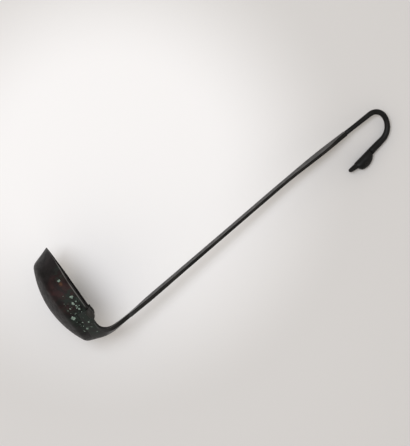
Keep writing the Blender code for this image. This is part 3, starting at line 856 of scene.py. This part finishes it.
def makeCrust():
    random.seed(7)
    c = crustSpots
    spots = list(c["spots"])
    for _ in range(c["crumbs"]):  # crumbs scattered through the same green area
        size = random.uniform(*c["crumbSize"])
        angle = random.uniform(*c["crumbAngle"])
        height = random.uniform(*c["crumbHeight"])
        spots.append((angle, height, size * random.uniform(*c["crumbStretch"]), size))
    laid = []
    for angle, height, length, breadth in spots:
        clearSelection()
        bpy.ops.mesh.primitive_ico_sphere_add(subdivisions=4 if length > 1.0 else 3, radius=1.0)
        lump = rename("crust")
        seed = Vector((angle, height, length))
        for vert in lump.data.vertices:
            lumps = c["lumpy"] * noise.noise(vert.co * c["lumpScale"] + seed)
            grit = c["gritty"] * noise.noise(vert.co * c["gritScale"] + seed)
            vert.co *= 1 + lumps + grit
        slope = Matrix.Rotation(math.radians(bowlCup["flare"]), 4, "Y")
        spin = Matrix.Rotation(random.uniform(0, math.pi), 4, "X")
        thick = c["thick"] * min(1.0, breadth)
        size = Matrix.Diagonal((0.5 * thick * mm, 0.5 * length * mm, 0.5 * breadth * mm, 1.0))
        turned = Matrix.Rotation(math.radians(angle), 4, "Z")
        onRoot = abs(angle) < crescentRoot["spread"]
        radius = rootRadius(height) if onRoot else wallRadius(height)
        place = Matrix.Translation(aroundAxis(radius - c["sink"], angle, height))
        settle(lump, place @ turned @ slope @ spin @ size)
        laid.append(lump)
    pick(laid[0])
    for lump in laid:
        lump.select_set(True)
    bpy.ops.object.join()
    crust = rename("malachiteSpots")
    print("crust laid:", len(spots), "lumps")
    return crust


hammerMarks = dict(broadSize=26.0, broad=0.08, fineSize=5.5, fine=0.03)
rodMarks = dict(broadSize=22.0, broad=0.05, fineSize=4.0, fine=0.025)

bowl = makeBowl()
joinOver(bowl, seatCutter(), "DIFFERENCE")
for side in (1, -1):
    joinOver(bowl, makeSpur(side, crescentRoot["seam"]), "DIFFERENCE")
stepLip(bowl)
hammer(bowl, hammerMarks)
handle = makeHandle()
hammer(handle, rodMarks)
hook = makeHook()
hammer(hook, rodMarks)
head = makeHead()
crust = makeCrust()

dressed = (
    (bowl, patinaBronze("bowlPatina", bowlFinish), "bowl", "bowl_bronze"),
    (handle, patinaBronze("handlePatina", handleFinish), "handle", "handle_bronze"),
    (hook, patinaBronze("hookPatina", hookFinish), "hook", "hook_bronze"),
    (head, patinaBronze("headPatina", headFinish), "duck_head", "head_bronze"),
    (crust, malachiteCrust(crustFinish), None, "bowl_bronze"),
)
for piece, finish, node, slotName in dressed:
    markWear(piece)
    settle(piece, lay)
    smoothShade(piece)
    piece.data.materials.clear()
    piece.data.materials.append(finish)
    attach(piece, "root")
    if node:
        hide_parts(node)
solder = frame["nodes"]["root_solder"]
solder.data.materials.clear()
solder.data.materials.append(patinaBronze("solderGrey", solderFinish))
print("pieces dressed")


# table, light and camera

# the table's colour carries a painted falloff of the light: bright near the centre, dim further out
table = dict(size=6.0, bright=(0.89, 0.864, 0.886), dim=(0.65, 0.622, 0.625), centre=(-0.045, 0.075, 0.0),
             near=0.08, far=0.20, height=-0.0002, roughness=0.7)
light = dict(world=0.62, worldTint=(1.0, 0.962, 0.865), key=7.0, keyTint=(0.89, 0.95, 1.0), keySize=0.45,
             keyPlace=(-0.14, 0.16, 1.2), fill=0.7, fillSize=0.8, fillPlace=(-0.25, 1.0, 0.55))
cameraSpot = dict(place=(-21.72, -54.86, 870.435), turn=(2.7013, 1.798, -40.7196), focalPixels=1100.0,
                  longSide=446.0, sensor=36.0)


def makeTable():
    clearSelection()
    bpy.ops.mesh.primitive_plane_add(size=table["size"], location=(0.0, 0.0, table["height"]))
    floor = rename("table")
    bpy.ops.object.transform_apply(location=True, rotation=True, scale=True)
    material, nodes, links, shader = newMaterial("paleTable")
    coords = addNode(nodes, "ShaderNodeTexCoord").outputs["Object"]
    # painted light falloff: the colour darkens with distance from the centre
    away = distanceNode(nodes, links, coords, table["centre"])
    paintedFalloff = ramp(nodes, links, away, table["near"], table["far"])
    links.new(blend(nodes, links, paintedFalloff, table["bright"], table["dim"]), shader.inputs["Base Color"])
    shader.inputs["Roughness"].default_value = table["roughness"]
    floor.data.materials.append(material)


def areaLight(name, place, power, size, tint):
    clearSelection()
    bpy.ops.object.light_add(type="AREA", location=place)
    lamp = rename(name)
    lamp.data.energy = power
    lamp.data.size = size
    lamp.data.color = tint
    lamp.rotation_euler = (-Vector(place)).to_track_quat("-Z", "Y").to_euler()


makeTable()
areaLight("softKey", light["keyPlace"], light["key"], light["keySize"], light["keyTint"])
areaLight("softFill", light["fillPlace"], light["fill"], light["fillSize"], light["worldTint"])
world = bpy.data.worlds.new("studio")
bpy.context.scene.world = world
world.use_nodes = True
world.node_tree.nodes["Background"].inputs["Color"].default_value = (*light["worldTint"], 1.0)
world.node_tree.nodes["Background"].inputs["Strength"].default_value = light["world"]

clearSelection()
bpy.ops.object.camera_add(location=Vector(cameraSpot["place"]) * mm,
                          rotation=[math.radians(angle) for angle in cameraSpot["turn"]])
camera = rename("photoView")
camera.data.sensor_width = cameraSpot["sensor"]
camera.data.lens = cameraSpot["sensor"] * cameraSpot["focalPixels"] / cameraSpot["longSide"]
bpy.context.scene.camera = camera
bpy.context.scene.view_settings.view_transform = "Standard"
